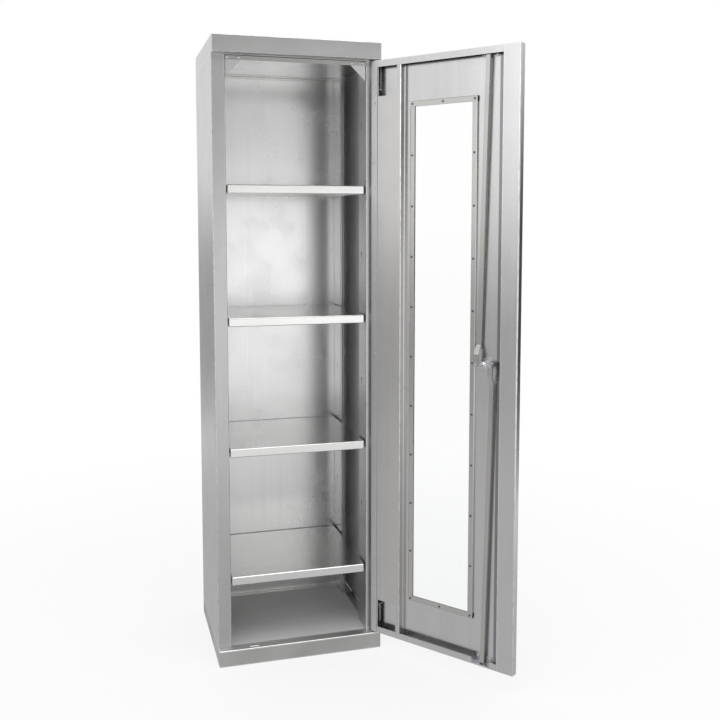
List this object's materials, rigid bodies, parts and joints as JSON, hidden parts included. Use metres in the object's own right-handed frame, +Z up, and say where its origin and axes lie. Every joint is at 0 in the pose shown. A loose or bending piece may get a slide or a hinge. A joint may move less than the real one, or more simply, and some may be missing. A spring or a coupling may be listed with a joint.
{
  "type": "glazed steel storage cabinet",
  "caption": "Tall narrow stainless steel cabinet with a framed glass door, a turn handle that works top and bottom lock rods, and clip-hung shelves.",
  "frame": {"origin": "centre of the cabinet's footprint on the floor", "axes": "+Z up, +X to the right seen from the front, which is the hinge side, +Y to the back"},
  "size_m": [0.7841, 0.8017, 1.85],
  "materials": {
    "brushed_steel": "fine vertical brushing, satin",
    "polished_steel": "bright, lightly worn",
    "zinc_plate": "bright zinc plate",
    "pane_glass": "clear float glass",
    "seal_rubber": "matt black",
    "bush_nylon": "matt dark grey",
    "barrel_brass": "satin"
  },
  "bodies": {
    "carcass": {"plinth_tray": "brushed_steel", "base_crossmember": "brushed_steel", "top_cap": "brushed_steel", "roof_panel": "brushed_steel", "side_panel_left": "brushed_steel", "side_panel_right": "brushed_steel", "rear_post_left": "brushed_steel", "rear_post_right": "brushed_steel", "side_foot_angle_left": "brushed_steel", "side_foot_angle_right": "brushed_steel", "gusset_left": "brushed_steel", "gusset_right": "brushed_steel", "back_panel": "brushed_steel", "lintel_rail": "brushed_steel", "rear_top_rail": "brushed_steel", "rear_floor_angle": "brushed_steel", "shelf_1": "brushed_steel", "shelf_2": "brushed_steel", "shelf_3": "brushed_steel", "shelf_4": "brushed_steel", "shelf_1_clip_front_left": "zinc_plate", "shelf_1_clip_front_right": "zinc_plate", "shelf_1_clip_rear_left": "zinc_plate", "shelf_1_clip_rear_right": "zinc_plate", "shelf_2_clip_front_left": "zinc_plate", "shelf_2_clip_front_right": "zinc_plate", "shelf_2_clip_rear_left": "zinc_plate", "shelf_2_clip_rear_right": "zinc_plate", "shelf_3_clip_front_left": "zinc_plate", "shelf_3_clip_front_right": "zinc_plate", "shelf_3_clip_rear_left": "zinc_plate", "shelf_3_clip_rear_right": "zinc_plate", "shelf_4_clip_front_left": "zinc_plate", "shelf_4_clip_front_right": "zinc_plate", "shelf_4_clip_rear_left": "zinc_plate", "shelf_4_clip_rear_right": "zinc_plate", "hinge_bush_lower": "bush_nylon", "hinge_bush_upper": "bush_nylon"},
    "door": {"door_skin": "brushed_steel", "hinge_stiffener": "brushed_steel", "window_pane": "pane_glass", "window_seal": "seal_rubber", "window_strip_hinge_side": "brushed_steel", "window_strip_latch_side": "brushed_steel", "window_strip_top": "brushed_steel", "window_strip_foot": "brushed_steel", "hinge_pin_lower": "zinc_plate", "hinge_pin_upper": "zinc_plate", "hinge_bracket_lower": "zinc_plate", "hinge_bracket_upper": "zinc_plate", "handle_rose": "polished_steel", "spindle_bearing": "zinc_plate", "rod_guide_upper": "zinc_plate", "rod_guide_lower": "zinc_plate"},
    "turn_handle": {"handle": "polished_steel", "lock_cam": "zinc_plate"},
    "upper_lock_rod": {"upper_rod": "polished_steel"},
    "lower_lock_rod": {"lower_rod": "polished_steel"},
    "key_barrel": {"lock_cylinder": "barrel_brass"}
  },
  "joints": [
    {"name": "door_hinge", "type": "hinge", "parent": "carcass", "child": "door", "pos_m": [0.2365, -0.2, 0], "axis": [0, 0, 1], "range_deg": [-127, 48]},
    {"name": "handle_turn", "type": "hinge", "parent": "door", "child": "turn_handle", "pos_m": [0.47288, -0.49706, 0.9245], "axis": [0.7986, 0.6018, 0], "range_deg": [0, 90]},
    {"name": "upper_rod_pivot", "type": "hinge", "parent": "turn_handle", "child": "upper_lock_rod", "pos_m": [0.45933, -0.47909, 0.9245], "axis": [0.7986, 0.6018, 0], "range_deg": [-91.5, 0]},
    {"name": "lower_rod_pivot", "type": "hinge", "parent": "turn_handle", "child": "lower_lock_rod", "pos_m": [0.48642, -0.51503, 0.9245], "axis": [0.7986, 0.6018, 0], "range_deg": [-91.5, 0]},
    {"name": "key_turn", "type": "hinge", "parent": "turn_handle", "child": "key_barrel", "pos_m": [0.47288, -0.49706, 0.9245], "axis": [0.7986, 0.6018, 0], "range_deg": [0, 90]}
  ],
  "couplings": [
    {"joint": "upper_rod_pivot", "follows": "handle_turn", "ratio": -1.0164},
    {"joint": "lower_rod_pivot", "follows": "handle_turn", "ratio": -1.0164}
  ]
}
